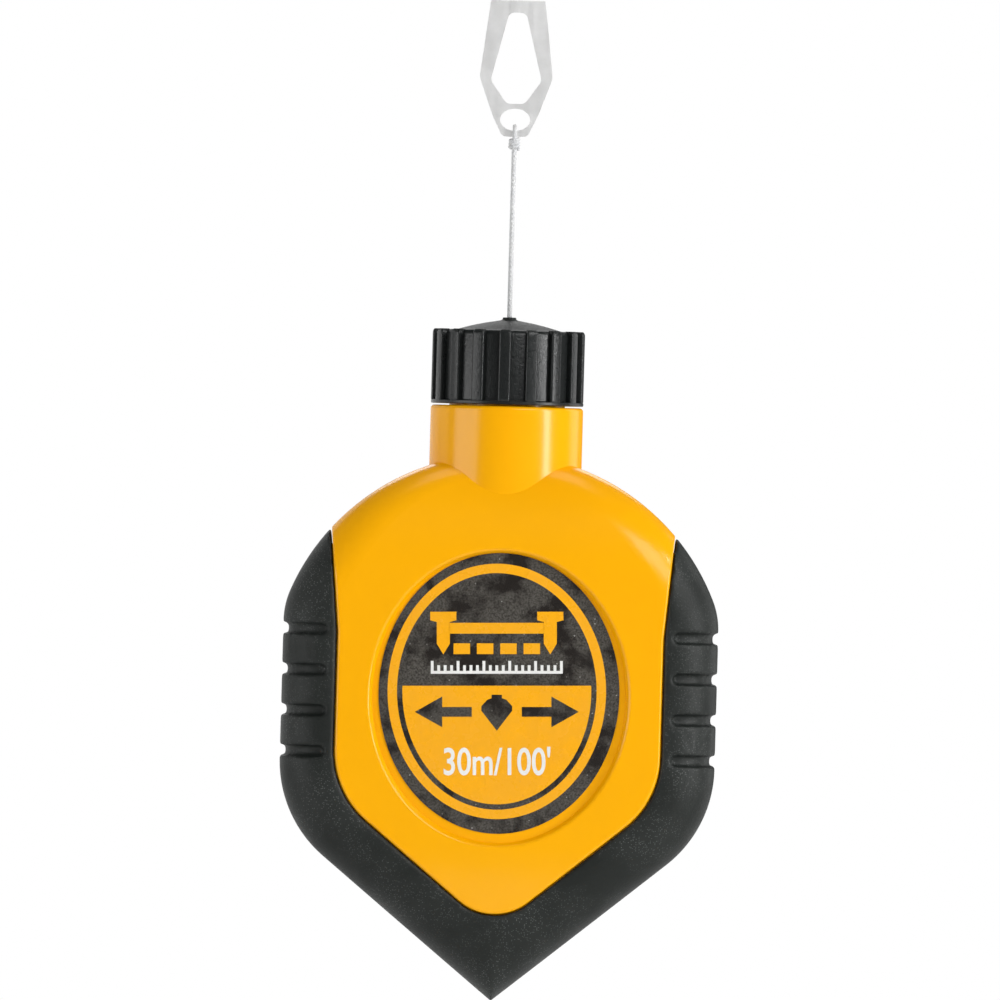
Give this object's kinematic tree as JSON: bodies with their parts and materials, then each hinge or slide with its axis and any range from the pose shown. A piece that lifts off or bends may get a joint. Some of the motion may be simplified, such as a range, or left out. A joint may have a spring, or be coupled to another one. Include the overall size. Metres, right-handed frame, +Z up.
{
  "type": "chalk line reel",
  "caption": "Plumb-shaped chalk line reel: two-shell yellow casing with a black rubber grip band, ribbed screw cap, folding crank and a steel hook on the braided line.",
  "frame": {"origin": "top of the hook's window, on the line's axis, where a nail or a plank's edge holds the hook", "axes": "+Z up along the taut line; the label faces -Y and the crank is at +Y"},
  "size_m": [0.0766, 0.037, 0.1764],
  "materials": {
    "yellow_abs": "glossy moulded ABS, amber yellow",
    "grip_rubber": "matt soft-touch rubber, near black",
    "cap_plastic": "satin moulded black plastic",
    "black_plastic": "satin moulded black plastic",
    "knob_plastic": "satin black plastic",
    "spool_plastic": "natural grey moulded plastic",
    "label_film": "printed film in black and amber",
    "screw_steel": "zinc plated steel",
    "hook_steel": "stamped bright steel",
    "felt": "pressed wool felt",
    "braided_line": "white braided line",
    "seal_rubber": "plain black rubber"
  },
  "bodies": {
    "casing": {"front_shell": "yellow_abs", "rear_shell": "yellow_abs", "front_grip": "grip_rubber", "rear_grip": "grip_rubber", "front_label": "label_film", "casing_screws": "screw_steel", "hub_seal": "felt", "line_inner": "braided_line"},
    "reel": {"spool": "spool_plastic", "line_winding": "braided_line", "crank_hub": "black_plastic", "crank_screw": "screw_steel", "hub_washer": "screw_steel", "fold_pin": "screw_steel"},
    "crank": {"crank_arm": "black_plastic", "knob_pin": "screw_steel"},
    "knob": {"crank_knob": "knob_plastic"},
    "cap_liner": {"felt_wiper": "felt", "wiper_retainer": "spool_plastic"},
    "cap": {"screw_cap": "cap_plastic", "cap_gasket": "seal_rubber"},
    "line_end": {"line_free": "braided_line", "line_knot": "braided_line"},
    "hook_plate": {"hook": "hook_steel"}
  },
  "joints": [
    {"name": "reel_spin", "type": "hinge", "parent": "casing", "child": "reel", "pos_m": [0, 0, -0.1203], "axis": [0, 1, 0], "continuous": true},
    {"name": "crank_fold", "type": "hinge", "parent": "reel", "child": "crank", "pos_m": [0, 0.0187, -0.1133], "axis": [1, 0, 0], "range_deg": [0, 180]},
    {"name": "knob_spin", "type": "hinge", "parent": "crank", "child": "knob", "pos_m": [0, 0.0125, -0.1403], "axis": [0, 1, 0], "continuous": true},
    {"name": "cap_lift", "type": "slide", "parent": "casing", "child": "cap_liner", "axis": [0, 0, 1], "range_m": [0, 0.012]},
    {"name": "cap_turn", "type": "hinge", "parent": "cap_liner", "child": "cap", "pos_m": [0, 0, -0.0638], "axis": [0, 0, 1], "range_deg": [0, 1080]},
    {"name": "line_draw", "type": "slide", "parent": "casing", "child": "line_end", "axis": [0, 0, 1], "range_m": [-0.016, 0.06], "deforming": ["line_free"]},
    {"name": "hook_swing", "type": "hinge", "parent": "line_end", "child": "hook_plate", "pos_m": [0, 0, -0.0214], "axis": [1, 0, 0], "range_deg": [-90, 90]}
  ],
  "couplings": [
    {"joint": "cap_lift", "follows": "cap_turn", "m_per_rad": 0.00063662}
  ]
}
